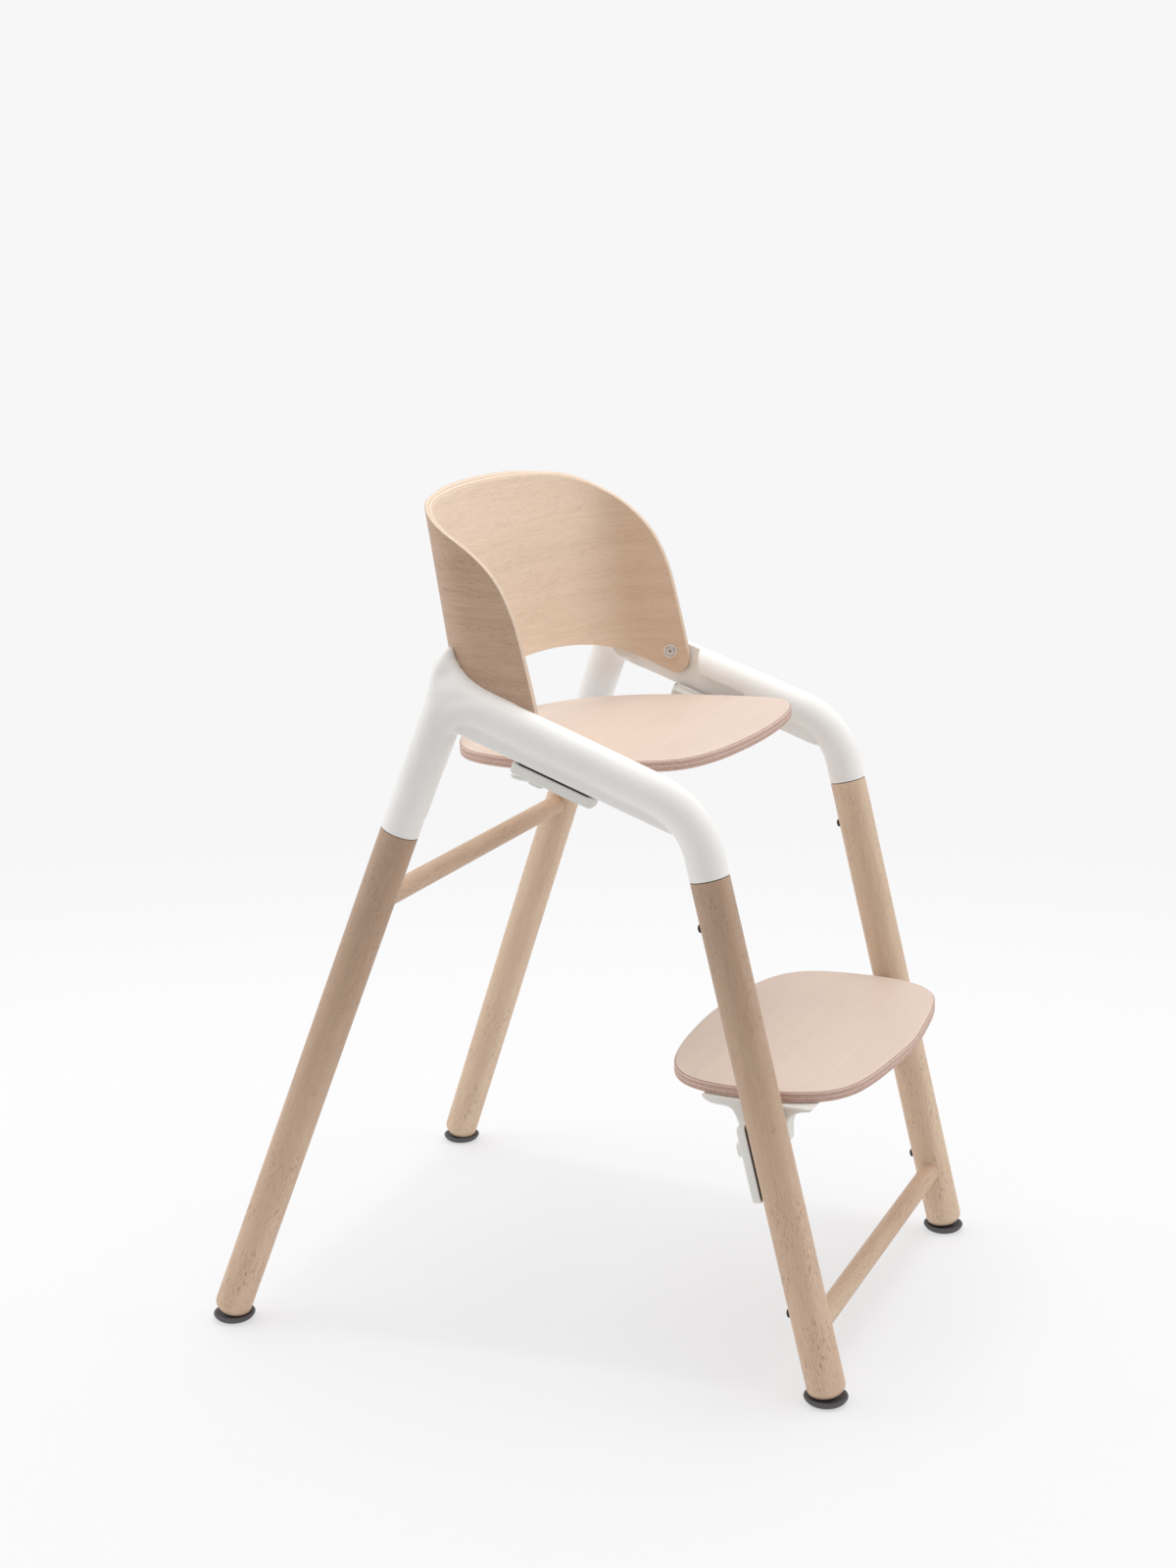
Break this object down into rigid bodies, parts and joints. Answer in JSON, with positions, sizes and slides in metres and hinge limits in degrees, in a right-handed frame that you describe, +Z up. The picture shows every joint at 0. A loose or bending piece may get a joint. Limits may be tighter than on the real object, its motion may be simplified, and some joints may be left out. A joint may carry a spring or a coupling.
{
  "type": "baby high chair",
  "caption": "Wooden baby high chair with splayed round legs, white cast arms, a bent plywood backrest, and a plywood seat and footrest that slide on clamps.",
  "frame": {"origin": "on the floor, at the centre of the chair's footprint", "axes": "+Z up, front of the chair faces -Y, +X is the seated child's left"},
  "size_m": [0.5516, 0.6475, 0.82],
  "materials": {
    "beech": "matt lacquered beech",
    "plywood": "matt lacquered beech plywood",
    "white_casting": "satin white paint",
    "white_plastic": "satin white",
    "dark_plastic": "matt black",
    "pad_rubber": "matt dark grey",
    "steel": "satin"
  },
  "bodies": {
    "frame": {"front_leg_left": "beech", "front_leg_right": "beech", "track_stop_lower_left": "dark_plastic", "track_stop_lower_right": "dark_plastic", "track_stop_upper_left": "dark_plastic", "track_stop_upper_right": "dark_plastic", "rear_leg_left": "beech", "rear_leg_right": "beech", "front_leg_stud_left": "steel", "front_leg_stud_right": "steel", "rear_leg_stud_left": "steel", "rear_leg_stud_right": "steel", "front_foot_pad_left": "pad_rubber", "front_foot_pad_right": "pad_rubber", "rear_foot_pad_left": "pad_rubber", "rear_foot_pad_right": "pad_rubber", "front_rung": "beech", "rear_rung": "beech", "side_frame_left": "white_casting", "side_frame_right": "white_casting", "backrest": "plywood", "backrest_screw_left": "steel", "backrest_screw_right": "steel", "backrest_insert_left": "steel", "backrest_insert_right": "steel"},
    "seat_carriage": {"seat_plate": "plywood", "seat_bracket_left": "white_casting", "seat_bracket_right": "white_casting", "seat_glide_shoe_left": "dark_plastic", "seat_glide_shoe_right": "dark_plastic", "seat_button_spring_left": "steel", "seat_button_spring_right": "steel", "seat_screw_front_left": "steel", "seat_screw_front_right": "steel", "seat_screw_rear_left": "steel", "seat_screw_rear_right": "steel"},
    "footrest_carriage": {"footrest_plate": "plywood", "footrest_bracket_left": "white_casting", "footrest_bracket_right": "white_casting", "footrest_glide_shoe_left": "dark_plastic", "footrest_glide_shoe_right": "dark_plastic", "footrest_button_spring_left": "steel", "footrest_button_spring_right": "steel", "footrest_screw_front_left": "steel", "footrest_screw_front_right": "steel", "footrest_screw_rear_left": "steel", "footrest_screw_rear_right": "steel"},
    "seat_button_left": {"seat_release_button_left": "white_plastic"},
    "seat_button_right": {"seat_release_button_right": "white_plastic"},
    "footrest_button_left": {"footrest_release_button_left": "white_plastic"},
    "footrest_button_right": {"footrest_release_button_right": "white_plastic"}
  },
  "joints": [
    {"name": "seat_slide", "type": "slide", "parent": "frame", "child": "seat_carriage", "axis": [0, 0.9372, 0.3488], "range_m": [-0.055, 0.05]},
    {"name": "footrest_slide", "type": "slide", "parent": "frame", "child": "footrest_carriage", "axis": [0, 0.2264, 0.974], "range_m": [-0.1, 0.17]},
    {"name": "seat_button_left_press", "type": "slide", "parent": "seat_carriage", "child": "seat_button_left", "axis": [0, -0.3488, 0.9372], "range_m": [0, 0.0025], "stiffness_N_per_m": 800, "springref_m": -0.001},
    {"name": "footrest_button_left_press", "type": "slide", "parent": "footrest_carriage", "child": "footrest_button_left", "axis": [0, -0.974, 0.2264], "range_m": [0, 0.002], "stiffness_N_per_m": 800, "springref_m": -0.001},
    {"name": "seat_button_right_press", "type": "slide", "parent": "seat_carriage", "child": "seat_button_right", "axis": [0, -0.3488, 0.9372], "range_m": [0, 0.0025], "stiffness_N_per_m": 800, "springref_m": -0.001},
    {"name": "footrest_button_right_press", "type": "slide", "parent": "footrest_carriage", "child": "footrest_button_right", "axis": [0, -0.974, 0.2264], "range_m": [0, 0.002], "stiffness_N_per_m": 800, "springref_m": -0.001}
  ]
}
